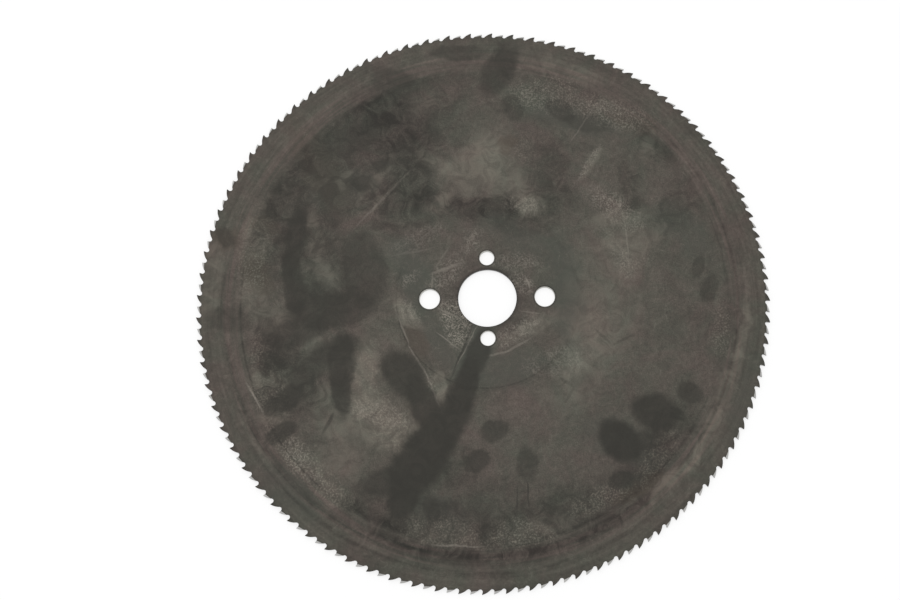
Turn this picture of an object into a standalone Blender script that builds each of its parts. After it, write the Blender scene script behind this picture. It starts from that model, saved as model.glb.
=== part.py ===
"""Circular metal-cutting saw blade in solid high-speed steel, a 315 mm blade worn to 313.5 mm.

The blade lies on the XY plane with its axis on Z and its underside at z = 0. The large pin holes
are on the X axis and the small ones on the Y axis. It is one piece: a turned and hollow-ground
disc, cut round its rim into bow teeth that point clockwise from above. Every tooth has one corner
bevelled, on the upper side and on the underside in turn.
"""

import math

import bmesh
import bpy
from mathutils import Matrix, Vector

# Disc, in metres
BLADE_DIAMETER = 0.3135
BLADE_THICKNESS = 0.0025
BORE_DIAMETER = 0.032
BORE_CHAMFER = 0.0003
HUB_DIAMETER = 0.100

# Hollow grinding, on each side: deepest beside the hub, and running out at the rim band
HOLLOW_DEPTH = 0.00015
HOLLOW_STEP_WIDTH = 0.0015
RIM_BAND_INNER_DIAMETER = 0.266

# Pin holes, as two pairs on circles of their own
LARGE_PIN_HOLE_DIAMETER = 0.011
LARGE_PIN_CIRCLE_DIAMETER = 0.063
SMALL_PIN_HOLE_DIAMETER = 0.008
SMALL_PIN_CIRCLE_DIAMETER = 0.045

# Bow teeth
TOOTH_COUNT = 160
TOOTH_HEIGHT = 0.00275
GULLET_RADIUS = 0.00115
RAKE_ANGLE = math.radians(12)
RELIEF_ANGLE = math.radians(14)
FIRST_TIP_ANGLE = math.radians(0.43)

# Corner bevels: where they start on the rake face, their tilt, and their fall behind the tip
BEVEL_WIDTH = 0.00155
BEVEL_TILT = math.radians(45)
BEVEL_RELIEF = math.radians(8)

# Fineness of the round shapes
GULLET_SEGMENTS = 5
BACK_SEGMENTS = 4
PIN_HOLE_SEGMENTS = 40
TEETH_PER_SECTOR = 2

# How far cutters and the uncut blank reach past the faces that they cut
CUTTER_OVERRUN = 0.002

TIP_RADIUS = BLADE_DIAMETER / 2
TOOTH_ANGLE = math.tau / TOOTH_COUNT
SHARP_EDGE_ANGLE = math.radians(30)


def clear_scene():
    for obj in list(bpy.data.objects):
        bpy.data.objects.remove(obj, do_unlink=True)


def new_collection(name):
    collection = bpy.data.collections.new(name)
    bpy.context.scene.collection.children.link(collection)
    return collection


def steel_material():
    """Dark, oiled and ground tool steel."""
    material = bpy.data.materials.new("ground_tool_steel")
    material.use_nodes = True
    shader = material.node_tree.nodes["Principled BSDF"]
    shader.inputs["Base Color"].default_value = (0.115, 0.107, 0.092, 1)
    shader.inputs["Metallic"].default_value = 0.85
    shader.inputs["Roughness"].default_value = 0.42
    material.diffuse_color = (0.115, 0.107, 0.092, 1)
    return material


def on_circle(centre, radius, angle):
    return centre + Vector((radius * math.cos(angle), radius * math.sin(angle)))


def arc(centre, start, end, segments):
    """Points from start up to, but not at, end, the short way round the centre."""
    first = math.atan2(*(start - centre).yx)
    turn = math.atan2(*(end - centre).yx) - first
    turn = (turn + math.pi) % math.tau - math.pi
    radius = (start - centre).length
    return [on_circle(centre, radius, first + turn * i / segments) for i in range(segments)]


def tooth_space():
    """One pitch of the rim: the back of one tooth, the gullet, and the rake face up to the next tip.

    The next tip is on the X axis. Its rake line touches the gullet's circle, and so does the bow of
    the tooth before it, whose radius follows from that.
    """
    tip = Vector((TIP_RADIUS, 0))
    rake = Vector((-math.cos(RAKE_ANGLE), math.sin(RAKE_ANGLE)))
    beside_tip = tip + GULLET_RADIUS * Vector((-math.sin(RAKE_ANGLE), -math.cos(RAKE_ANGLE)))
    gullet_centre_radius = TIP_RADIUS - TOOTH_HEIGHT + GULLET_RADIUS
    inward = -beside_tip.dot(rake)
    rake_length = inward - math.sqrt(inward**2 - beside_tip.length_squared + gullet_centre_radius**2)
    rake_foot = tip + rake_length * rake
    gullet_centre = beside_tip + rake_length * rake

    last_tip = Matrix.Rotation(-TOOTH_ANGLE, 2) @ tip
    bow_inward = Matrix.Rotation(-TOOTH_ANGLE, 2) @ Vector((-math.cos(RELIEF_ANGLE), -math.sin(RELIEF_ANGLE)))
    across = last_tip - gullet_centre
    bow_radius = (across.length_squared - GULLET_RADIUS**2) / (2 * (GULLET_RADIUS - across.dot(bow_inward)))
    bow_centre = last_tip + bow_radius * bow_inward
    bow_foot = gullet_centre + GULLET_RADIUS * (bow_centre - gullet_centre).normalized()

    back = arc(bow_centre, last_tip, bow_foot, BACK_SEGMENTS)
    gullet = arc(gullet_centre, bow_foot, rake_foot, GULLET_SEGMENTS)
    return back + gullet + [rake_foot]


def rim_outline():
    space = tooth_space()
    points = []
    for tooth in range(TOOTH_COUNT):
        turn = Matrix.Rotation(FIRST_TIP_ANGLE + (tooth + 1) * TOOTH_ANGLE, 2)
        points += [turn @ point for point in space]
    return points


def toothed_prism(collection):
    """The outline of the teeth, as a block taller than the disc."""
    curve = bpy.data.curves.new("tooth_outline", "CURVE")
    curve.dimensions = "2D"
    curve.fill_mode = "BOTH"
    curve.extrude = BLADE_THICKNESS / 2 + CUTTER_OVERRUN
    points = rim_outline()
    spline = curve.splines.new("POLY")
    spline.points.add(len(points) - 1)
    for spline_point, point in zip(spline.points, points):
        spline_point.co = (point.x, point.y, 0, 1)
    spline.use_cyclic_u = True
    outline = bpy.data.objects.new("tooth_outline", curve)
    outline.location.z = BLADE_THICKNESS / 2
    collection.objects.link(outline)
    bpy.context.view_layer.update()

    graph = bpy.context.evaluated_depsgraph_get()
    mesh = bpy.data.meshes.new_from_object(outline.evaluated_get(graph))
    shape = bmesh.new()
    shape.from_mesh(mesh)
    bmesh.ops.remove_doubles(shape, verts=shape.verts, dist=1e-6)
    bmesh.ops.recalc_face_normals(shape, faces=shape.faces)
    shape.to_mesh(mesh)
    shape.free()
    prism = bpy.data.objects.new("toothed_prism", mesh)
    prism.matrix_world = outline.matrix_world.copy()
    bpy.data.objects.remove(outline, do_unlink=True)
    return as_cutter(prism, collection)


def as_cutter(obj, collection):
    collection.objects.link(obj)
    obj.hide_render = True
    obj.display_type = "WIRE"
    return obj


def disc_section():
    """The disc's section, from the bore's upper edge outwards, down, and back along the underside."""
    bore = BORE_DIAMETER / 2
    hub = HUB_DIAMETER / 2
    hollow = hub + HOLLOW_STEP_WIDTH
    band = RIM_BAND_INNER_DIAMETER / 2
    blank = TIP_RADIUS + CUTTER_OVERRUN
    side = [
        (blank, 0),
        (band, 0),
        (hollow, HOLLOW_DEPTH),
        (hub, 0),
        (bore + BORE_CHAMFER, 0),
        (bore, BORE_CHAMFER),
    ]
    upper = [(radius, BLADE_THICKNESS - depth) for radius, depth in reversed(side)]
    return upper + side


def turned_disc(collection):
    """The disc before its teeth are cut, with one sector of its surface to every two teeth."""
    section = disc_section()
    count = len(section)
    mesh = bpy.data.meshes.new("saw_blade")
    edges = [(i, (i + 1) % count) for i in range(count)]
    mesh.from_pydata([(radius, 0, z) for radius, z in section], edges, [])
    disc = bpy.data.objects.new("saw_blade", mesh)
    collection.objects.link(disc)
    screw = disc.modifiers.new("turn", "SCREW")
    screw.axis = "Z"
    screw.steps = TOOTH_COUNT // TEETH_PER_SECTOR
    screw.render_steps = screw.steps
    screw.use_merge_vertices = True
    screw.merge_threshold = 1e-5
    disc.rotation_euler.z = FIRST_TIP_ANGLE + TOOTH_ANGLE / 2
    return disc


def pin_hole_cutters(collection):
    """Four cylinders: the large pair on the X axis and the small pair on the Y axis."""
    shape = bmesh.new()
    pairs = (
        (LARGE_PIN_HOLE_DIAMETER, LARGE_PIN_CIRCLE_DIAMETER, 0),
        (SMALL_PIN_HOLE_DIAMETER, SMALL_PIN_CIRCLE_DIAMETER, math.pi / 2),
    )
    for hole, circle, angle in pairs:
        for half_turn in (0, math.pi):
            place = Matrix.Rotation(angle + half_turn, 4, "Z")
            place @= Matrix.Translation((circle / 2, 0, BLADE_THICKNESS / 2))
            bmesh.ops.create_cone(
                shape,
                cap_ends=True,
                segments=PIN_HOLE_SEGMENTS,
                radius1=hole / 2,
                radius2=hole / 2,
                depth=BLADE_THICKNESS + 2 * CUTTER_OVERRUN,
                matrix=place,
            )
    mesh = bpy.data.meshes.new("pin_holes")
    shape.to_mesh(mesh)
    shape.free()
    return as_cutter(bpy.data.objects.new("pin_holes", mesh), collection)


def bevel_cutters(name, first_tooth, face_z, outward_z, collection):
    """A block over every second tooth, whose underside is the bevel that is ground on it.

    The bevel meets the blade's face in a line that starts on the rake face, BEVEL_WIDTH below the
    tip, and falls by BEVEL_RELIEF behind it.
    """
    along = Vector((-math.sin(BEVEL_RELIEF), math.cos(BEVEL_RELIEF), 0))
    outward = Vector((math.cos(BEVEL_RELIEF), math.sin(BEVEL_RELIEF), 0))
    face = Vector((0, 0, outward_z))
    normal = outward * math.sin(BEVEL_TILT) + face * math.cos(BEVEL_TILT)
    slope = normal.cross(along)
    start = Vector((TIP_RADIUS - BEVEL_WIDTH, BEVEL_WIDTH * math.tan(RAKE_ANGLE), face_z))
    pitch = math.tau * TIP_RADIUS / TOOTH_COUNT
    before = GULLET_RADIUS / 2
    length = before + pitch * 3 / 4
    height = 3 * BEVEL_WIDTH
    width = 2 * height
    centre = start + along * (length / 2 - before) + normal * (height / 2)
    block = Matrix.Translation(centre) @ Matrix((along, slope, normal)).transposed().to_4x4()
    block @= Matrix.Diagonal((length, width, height, 1))

    shape = bmesh.new()
    for tooth in range(first_tooth, TOOTH_COUNT, 2):
        turn = Matrix.Rotation(FIRST_TIP_ANGLE + tooth * TOOTH_ANGLE, 4, "Z")
        bmesh.ops.create_cube(shape, size=1, matrix=turn @ block)
    mesh = bpy.data.meshes.new(name)
    shape.to_mesh(mesh)
    shape.free()
    return as_cutter(bpy.data.objects.new(name, mesh), collection)


def add_boolean(obj, cutter, operation):
    boolean = obj.modifiers.new(cutter.name, "BOOLEAN")
    boolean.object = cutter
    boolean.operation = operation
    boolean.solver = "EXACT"


def finish_mesh(obj):
    """Applies the modifiers and the turn, and shades the round walls smooth."""
    bpy.context.view_layer.update()
    graph = bpy.context.evaluated_depsgraph_get()
    mesh = bpy.data.meshes.new_from_object(obj.evaluated_get(graph))
    mesh.transform(obj.matrix_world)
    mesh.shade_smooth()
    mesh.set_sharp_from_angle(angle=SHARP_EDGE_ANGLE)
    obj.modifiers.clear()
    obj.rotation_euler.z = 0
    obj.data = mesh


def build():
    clear_scene()
    parts = new_collection("metal_cutting_saw_blade")
    cutters = new_collection("cutters")
    blade = turned_disc(parts)
    add_boolean(blade, toothed_prism(cutters), "INTERSECT")
    add_boolean(blade, pin_hole_cutters(cutters), "DIFFERENCE")
    upper = bevel_cutters("upper_bevels", 0, BLADE_THICKNESS, 1, cutters)
    lower = bevel_cutters("lower_bevels", 1, 0, -1, cutters)
    add_boolean(blade, upper, "DIFFERENCE")
    add_boolean(blade, lower, "DIFFERENCE")
    finish_mesh(blade)
    blade.data.materials.clear()
    blade.data.materials.append(steel_material())


build()
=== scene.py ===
"""A circular saw blade for cutting metal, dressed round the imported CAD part.

The file is laid out as a Blender add-on and is run as a script. One operator models and finishes
the blade, and one lays out the floor, the light and the camera.
"""

import math

import bmesh
import bpy
from bpy.props import FloatProperty, FloatVectorProperty, IntProperty, PointerProperty
from mathutils import Euler, Matrix, Vector


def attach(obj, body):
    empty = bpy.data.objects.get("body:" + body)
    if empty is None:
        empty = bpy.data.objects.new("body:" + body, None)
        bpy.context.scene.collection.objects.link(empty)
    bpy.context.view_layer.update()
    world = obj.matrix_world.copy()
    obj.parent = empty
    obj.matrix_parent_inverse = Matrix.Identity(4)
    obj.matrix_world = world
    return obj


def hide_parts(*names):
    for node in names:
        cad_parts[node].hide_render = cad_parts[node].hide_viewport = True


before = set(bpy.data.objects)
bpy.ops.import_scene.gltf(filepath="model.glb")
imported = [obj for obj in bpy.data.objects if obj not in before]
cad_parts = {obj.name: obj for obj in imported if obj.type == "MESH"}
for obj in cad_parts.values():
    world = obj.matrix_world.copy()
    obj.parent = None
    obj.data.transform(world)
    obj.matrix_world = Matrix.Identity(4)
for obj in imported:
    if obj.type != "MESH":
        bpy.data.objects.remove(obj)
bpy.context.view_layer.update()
CAD_NODE = "saw_blade"
BODY = "root"
PIECE_NAME = "saw_blade_finished"

bl_info = {
    "name": "Metal-Cutting Saw Blade",
    "version": (1, 0, 0),
    "blender": (4, 5, 0),
    "location": "3D View > Sidebar > Saw Blade",
    "description": "Models a toothed steel saw blade with its ground and handled finish",
    "category": "Object",
}

MILLIMETRE = 0.001
CENTRE = Vector((0.0, 0.0, 0.0))
UP = Vector((0.0, 0.0, 1.0))

# Points closer together than this are one point.
SAME_PLACE = 5e-6

# The stage. The camera is the one that fits the photograph, with its turn in degrees.
FLOOR_GAP = 0.00002
LAMP_PLACE = Vector((-0.2, 0.45, 2.0))
SENSOR_WIDTH = 36.0
CAMERA_PLACE = Vector((0.018395, -0.109621, 0.530741))
CAMERA_TURN = (11.5669, -2.7403, -1.8068)
CAMERA_SHIFT = -0.1369
NEAREST_SEEN = 0.01

# How finely the curves are drawn.
GULLET_STEPS = 6
BOW_STEPS = 9
BAND_STEPS = 2
PIN_HOLE_STEPS = 96

# How far a cutter sticks out of the blade.
CUT_CLEARANCE = 0.001

# Edges turned by less than this are shaded smooth.
EASED_ANGLE = math.radians(30)

# How upright the normal of a flat face is at least, and that of a bevelled one.
FLAT_FACE = 0.95
BEVELLED_FACE = 0.2


def length(name, description, default):
    """A size in metres."""
    return FloatProperty(
        name=name, description=description, default=default, min=0.0, precision=5, unit="LENGTH"
    )


def angle(name, description, degrees):
    """An angle, given in degrees."""
    return FloatProperty(
        name=name, description=description, default=math.radians(degrees), subtype="ANGLE"
    )


def colour(name, description, default):
    """A colour as red, green and blue light."""
    return FloatVectorProperty(
        name=name, description=description, default=default, size=3, min=0.0, max=1.0,
        subtype="COLOR",
    )


def share(name, description, default):
    """A number from 0 to 1."""
    return FloatProperty(
        name=name, description=description, default=default, min=0.0, max=1.0, subtype="FACTOR"
    )


class BladeSizes(bpy.types.PropertyGroup):
    """The sizes of the blade."""

    tip_circle: length("Tip Circle", "Diameter across the tips of the teeth", 0.3135)
    thickness: length("Thickness", "Thickness of the hub and of the toothed band", 0.0025)
    bore: length("Bore", "Diameter of the hole for the arbor", 0.032)
    bore_chamfer: length("Bore Chamfer", "Width of the broken edge at the bore", 0.0003)
    hub: length("Hub", "Diameter of the flat that the flanges clamp", 0.100)
    hollow_depth: length("Hollow Depth", "Depth that each side is hollow ground", 0.00015)
    hollow_step: length("Hollow Step", "Width of the slope from the hub into the hollow", 0.0015)
    rim_band: length("Rim Band", "Inner diameter of the flat toothed band", 0.266)
    large_pin_hole: length("Large Pin Holes", "Diameter of the two large pin holes", 0.011)
    large_pin_circle: length("Large Pin Circle", "Pitch circle of the large pin holes", 0.063)
    small_pin_hole: length("Small Pin Holes", "Diameter of the two small pin holes", 0.008)
    small_pin_circle: length("Small Pin Circle", "Pitch circle of the small pin holes", 0.045)
    pin_hole_chamfer: length("Pin Hole Chamfer", "Width of their broken edges", 0.0002)
    teeth: IntProperty(
        name="Teeth", description="Number of teeth, which is even", default=160, min=8
    )
    tooth_height: length("Tooth Height", "Depth of the gullets below the tips", 0.00275)
    gullet_radius: length("Gullet Radius", "Radius of the round bottom between two teeth", 0.00115)
    rake: angle("Rake", "Forward lean of the cutting faces", 12.0)
    relief: angle("Relief", "Fall of the back of a tooth behind its tip", 14.0)
    first_tip: angle("First Tip", "Turn of the first tooth from the X axis", 0.43)
    bevel_width: length("Bevel Width", "Width of the ground corner of a tooth", 0.00155)
    bevel_tilt: angle("Bevel Tilt", "Slope of the ground corner of a tooth", 45.0)
    bevel_relief: angle("Bevel Relief", "Fall of the ground corner behind the tip", 8.0)


class SteelFinish(bpy.types.PropertyGroup):
    """The colours of the steel."""

    cool_side: colour("Cool Side", "Oxidised side, greener parts", (0.0530, 0.0538, 0.0423))
    warm_side: colour("Warm Side", "Oxidised side, browner parts", (0.0648, 0.0522, 0.0446))
    smudge: colour("Smudge", "Oily finger and hand marks", (0.0165, 0.0155, 0.0125))
    rubbed: colour("Rubbed", "Places rubbed bright", (0.145, 0.124, 0.100))
    pale: colour("Pale", "Places wiped bright, greener parts", (0.124, 0.122, 0.098))
    scratched: colour("Scratched", "Fresh scratches round the bore", (0.23, 0.205, 0.175))
    green_film: colour("Green Film", "Dried coolant", (0.0455, 0.0485, 0.0395))
    brown_stain: colour("Brown Stain", "Light rust", (0.050, 0.040, 0.031))
    bevel: colour("Bevel", "Freshly ground corners of the teeth", (0.46, 0.455, 0.44))
    gullet: colour("Gullet", "Faces and backs of the teeth", (0.10, 0.094, 0.082))
    bore: colour("Bore", "Walls of the bore", (0.055, 0.050, 0.044))
    pin_wall: colour("Pin Wall", "Walls of the pin holes, worn bright", (0.50, 0.49, 0.46))


class StageSettings(bpy.types.PropertyGroup):
    """The floor, the light and the camera."""

    floor_colour: colour("Floor", "Colour of the floor", (0.32, 0.32, 0.32))
    floor_size: length("Floor Size", "Width of the floor", 6.0)
    floor_glow: share("Floor Glow", "White that the floor shows to the camera", 0.71)
    sky_strength: FloatProperty(
        name="Sky Strength", description="Even light from all sides", default=0.62, min=0.0
    )
    lamp_power: FloatProperty(
        name="Lamp Power", description="Power of the soft lamp", default=20.0, min=0.0, unit="POWER"
    )
    lamp_size: length("Lamp Size", "Width of the soft lamp", 2.4)
    lens: FloatProperty(
        name="Lens", description="Focal length of the camera", default=39.22, min=1.0,
        unit="CAMERA",
    )


# Modelling


def select(piece, kind, test):
    """Selects only the points, edges or faces (VERT, EDGE or FACE) that pass the test."""
    bpy.ops.mesh.select_mode(type=kind)
    bpy.ops.mesh.select_all(action="DESELECT")
    shape = bmesh.from_edit_mesh(piece.data)
    for part in {"VERT": shape.verts, "EDGE": shape.edges, "FACE": shape.faces}[kind]:
        if test(part):
            part.select_set(True)
    shape.select_flush_mode()
    bmesh.update_edit_mesh(piece.data)


def selected_point(piece):
    """The place of the one selected point."""
    shape = bmesh.from_edit_mesh(piece.data)
    (point,) = (v.co.copy() for v in shape.verts if v.select)
    return point


def walk_to(piece, point):
    """Draws an edge from the selected point to another place on the floor plane."""
    step = Vector((*point, 0.0)) - selected_point(piece)
    bpy.ops.mesh.extrude_vertices_move(TRANSFORM_OT_translate={"value": step})


def swing(centre, turn, steps):
    """Draws an arc from the selected point, anticlockwise for a turn above 0."""
    bpy.ops.mesh.spin(steps=steps, angle=turn, center=(*centre, 0.0), axis=-UP)


def copy_round(turn, copies):
    """Copies what is selected round the blade's axis, anticlockwise."""
    bpy.ops.mesh.spin(steps=copies, dupli=True, angle=copies * turn, center=CENTRE, axis=-UP)


def turn_between(centre, start, end):
    """The angle from start to end, seen from the centre, the short way round."""
    a, b = start - centre, end - centre
    return math.atan2(a.x * b.y - a.y * b.x, a.dot(b))


def draw_arc(centre, start, end, steps):
    """Draws the arc from the selected point, which is the start, to the end."""
    swing(centre, turn_between(centre, start, end), steps)


def turned(point, turn):
    """A place, turned round the blade's axis."""
    return Matrix.Rotation(turn, 2) @ point


class ToothForm:
    """Where the rake line, the gullet arcs and the bow of the first tooth lie.

    They touch each other without a corner. The form is worked out with the tip on the X axis and
    is then turned to the place of the first tooth.
    """

    def __init__(self, sizes):
        radius = sizes.tip_circle / 2
        gullet = sizes.gullet_radius
        pitch = 2 * math.pi / sizes.teeth
        tip = Vector((radius, 0.0))
        inward = Vector((-math.cos(sizes.rake), math.sin(sizes.rake)))
        beside_tip = tip - gullet * Vector((inward.y, -inward.x))
        centre_radius = radius - sizes.tooth_height + gullet
        reach = -beside_tip.dot(inward)
        rake_length = reach - math.sqrt(reach**2 - beside_tip.length_squared + centre_radius**2)
        gullet_centre = beside_tip + rake_length * inward
        next_centre = turned(gullet_centre, pitch)
        bow_inward = Vector((-math.cos(sizes.relief), -math.sin(sizes.relief)))
        across = tip - next_centre
        bow_radius = (across.length_squared - gullet**2) / (2 * (gullet - across.dot(bow_inward)))
        bow_centre = tip + bow_radius * bow_inward
        bow_foot = next_centre + gullet * (bow_centre - next_centre).normalized()
        bottom = gullet_centre - gullet * gullet_centre.normalized()
        self.pitch = pitch
        self.root_radius = bottom.length
        self.bottom = turned(bottom, sizes.first_tip)
        self.gullet_centre = turned(gullet_centre, sizes.first_tip)
        self.rake_foot = turned(tip + rake_length * inward, sizes.first_tip)
        self.tip = turned(tip, sizes.first_tip)
        self.bow_centre = turned(bow_centre, sizes.first_tip)
        self.bow_foot = turned(bow_foot, sizes.first_tip)
        self.next_centre = turned(self.gullet_centre, pitch)
        self.next_bottom = turned(self.bottom, pitch)


def start_piece(name):
    """A new piece, in edit mode, drawn together to one selected point at the origin."""
    bpy.ops.object.select_all(action="DESELECT")
    bpy.ops.mesh.primitive_plane_add(size=MILLIMETRE)
    piece = bpy.context.active_object
    piece.name = piece.data.name = name
    bpy.ops.object.mode_set(mode="EDIT")
    bpy.ops.mesh.select_mode(type="VERT")
    bpy.ops.mesh.select_all(action="SELECT")
    bpy.ops.mesh.merge(type="CENTER")
    return piece


def merge_all():
    """Joins the points that meet."""
    bpy.ops.mesh.select_mode(type="VERT")
    bpy.ops.mesh.select_all(action="SELECT")
    bpy.ops.mesh.remove_doubles(threshold=SAME_PLACE)


def radius_of(point):
    """How far a place is from the blade's axis."""
    return math.hypot(point.x, point.y)


def is_ring_edge(radius, height):
    """A test for the edges of one ring."""
    return lambda edge: all(
        abs(radius_of(v.co) - radius) < SAME_PLACE and abs(v.co.z - height) < SAME_PLACE
        for v in edge.verts
    )


def draw_up(rise):
    """Draws the selected edges up into faces."""
    bpy.ops.mesh.extrude_edges_move(TRANSFORM_OT_translate={"value": rise * UP})


def draw_ring(radius, new_radius, rise):
    """Draws the selected ring of edges in or out into a ring of faces."""
    draw_up(rise)
    ratio = new_radius / radius
    bpy.ops.transform.resize(value=(ratio, ratio, 1.0), center_override=CENTRE)


def model_tooth_wedge(piece, sizes, form):
    """The lower face of one tooth and of the disc below it, then the upper face and the walls."""
    bpy.ops.transform.translate(value=(*form.bottom, 0.0))
    draw_arc(form.gullet_centre, form.bottom, form.rake_foot, GULLET_STEPS)
    walk_to(piece, form.tip)
    draw_arc(form.bow_centre, form.tip, form.bow_foot, BOW_STEPS)
    draw_arc(form.next_centre, form.bow_foot, form.next_bottom, GULLET_STEPS)
    band = sizes.rim_band / 2
    walk_to(piece, band * form.next_bottom.normalized())
    swing((0.0, 0.0), -form.pitch, BAND_STEPS)
    walk_to(piece, form.bottom)
    merge_all()
    bpy.ops.mesh.edge_face_add()

    hub, bore = sizes.hub / 2, sizes.bore / 2
    edge = bore + sizes.bore_chamfer
    select(piece, "EDGE", is_ring_edge(band, 0.0))
    draw_ring(band, hub + sizes.hollow_step, sizes.hollow_depth)
    draw_ring(hub + sizes.hollow_step, hub, -sizes.hollow_depth)
    draw_ring(hub, edge, 0.0)
    draw_ring(edge, bore, sizes.bore_chamfer)

    bpy.ops.mesh.select_all(action="SELECT")
    bpy.ops.mesh.duplicate()
    middle = UP * sizes.thickness / 2
    bpy.ops.transform.resize(value=(1.0, 1.0, -1.0), center_override=middle)
    select(
        piece, "EDGE",
        lambda edge: all(
            abs(v.co.z) < SAME_PLACE and radius_of(v.co) > form.root_radius - SAME_PLACE
            for v in edge.verts
        ),
    )
    draw_up(sizes.thickness)
    select(piece, "EDGE", is_ring_edge(bore, sizes.bore_chamfer))
    draw_up(sizes.thickness - 2 * sizes.bore_chamfer)
    merge_all()


def bevel_plane(sizes, form, tooth, side):
    """The plane that a tooth's corner is ground to: side is 1 for the upper side, -1 below."""
    along = sizes.bevel_relief
    outward = Vector((math.cos(along), math.sin(along), 0.0))
    normal = outward * math.sin(sizes.bevel_tilt) + side * UP * math.cos(sizes.bevel_tilt)
    radius = sizes.tip_circle / 2
    height = sizes.thickness if side > 0 else 0.0
    back = sizes.bevel_width
    place = Vector((radius - back, back * math.tan(sizes.rake), height))
    turn = Matrix.Rotation(sizes.first_tip + tooth * form.pitch, 3, "Z")
    return turn @ place, turn @ normal


def grind_corner(sizes, form, tooth, side):
    """Takes a corner off the selected tooth."""
    place, normal = bevel_plane(sizes, form, tooth, side)
    bpy.ops.mesh.bisect(plane_co=place, plane_no=normal, use_fill=True, clear_outer=True)


def model_disc(piece, sizes, form):
    """One pair of teeth, each ground on its own side, and its copies round the rim."""
    model_tooth_wedge(piece, sizes, form)
    bpy.ops.mesh.select_all(action="SELECT")
    copy_round(form.pitch, 1)
    bpy.ops.mesh.select_mode(type="FACE")
    grind_corner(sizes, form, 1, -1)
    middle = form.pitch / 2
    start = turned(form.bottom, middle)
    select(
        piece, "FACE",
        lambda face: turn_between(CENTRE.xy, start, face.calc_center_median().xy) < middle,
    )
    grind_corner(sizes, form, 0, 1)
    bpy.ops.mesh.select_all(action="SELECT")
    copy_round(2 * form.pitch, sizes.teeth // 2 - 1)
    merge_all()
    bpy.ops.mesh.normals_make_consistent(inside=False)
    bpy.ops.object.mode_set(mode="OBJECT")


def pin_holes(sizes):
    """The radius of each size of pin hole, and the place of one of its two holes."""
    return (
        (sizes.large_pin_hole / 2, Vector((sizes.large_pin_circle / 2, 0.0, 0.0))),
        (sizes.small_pin_hole / 2, Vector((0.0, sizes.small_pin_circle / 2, 0.0))),
    )


def cutter_pin(radius, sizes, middle):
    """A round cutter that breaks both edges of the hole that it makes."""
    chamfer = sizes.pin_hole_chamfer
    bpy.ops.object.select_all(action="DESELECT")
    bpy.ops.mesh.primitive_cylinder_add(
        vertices=PIN_HOLE_STEPS, radius=radius, depth=sizes.thickness - 2 * chamfer,
        location=middle,
    )
    pin = bpy.context.active_object
    bpy.ops.object.mode_set(mode="EDIT")
    flare = (radius + chamfer) / radius
    for side in (1, -1):
        select(pin, "FACE", lambda face: side * face.normal.z > FLAT_FACE)
        for rise, ratio in ((chamfer, flare), (CUT_CLEARANCE, 1.0)):
            bpy.ops.mesh.extrude_region_move(TRANSFORM_OT_translate={"value": side * rise * UP})
            bpy.ops.transform.resize(value=(ratio, ratio, 1.0), center_override=middle)
    bpy.ops.object.mode_set(mode="OBJECT")
    return pin


def bore_pin_holes(piece, sizes):
    """Two large holes on the X axis and two small ones on the Y axis."""
    for radius, place in pin_holes(sizes):
        for side in (1, -1):
            pin = cutter_pin(radius, sizes, side * place + UP * sizes.thickness / 2)
            bpy.context.view_layer.objects.active = piece
            cut = piece.modifiers.new("Pin Hole", "BOOLEAN")
            cut.operation = "DIFFERENCE"
            cut.solver = "EXACT"
            cut.object = pin
            bpy.ops.object.modifier_apply(modifier=cut.name)
            bpy.data.objects.remove(pin)


def select_piece(piece):
    """Makes one piece the selected and active object."""
    bpy.ops.object.select_all(action="DESELECT")
    piece.select_set(True)
    bpy.context.view_layer.objects.active = piece


def finish_edges(piece, sizes):
    """Keeps the ring edges and the corners crisp, and shades the arcs smooth."""
    bpy.ops.object.mode_set(mode="EDIT")
    rings = (
        (sizes.rim_band / 2, 0.0), (sizes.hub / 2 + sizes.hollow_step, sizes.hollow_depth),
        (sizes.hub / 2, 0.0),
    )
    tests = [is_ring_edge(radius, height) for radius, height in rings]
    tests += [is_ring_edge(radius, sizes.thickness - height) for radius, height in rings]
    select(piece, "EDGE", lambda edge: any(test(edge) for test in tests))
    bpy.ops.mesh.mark_sharp()
    bpy.ops.object.mode_set(mode="OBJECT")
    bpy.ops.object.shade_smooth_by_angle(angle=EASED_ANGLE)


def give_materials(piece, sizes, materials):
    """Gives each kind of face its own finish."""
    for material in materials.values():
        piece.data.materials.append(material)
    slots = list(materials)
    hole_reach = sizes.large_pin_circle / 2 + sizes.large_pin_hole
    for face in piece.data.polygons:
        upright = abs(face.normal.z)
        if upright > FLAT_FACE:
            finish = "side"
        elif radius_of(face.center) < hole_reach:
            finish = "bore"
        elif upright > BEVELLED_FACE:
            finish = "bevel"
        else:
            finish = "gullet"
        face.material_index = slots.index(finish)


# Shaders. Patterns are laid out in millimetres on the blade's own coordinates.


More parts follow.
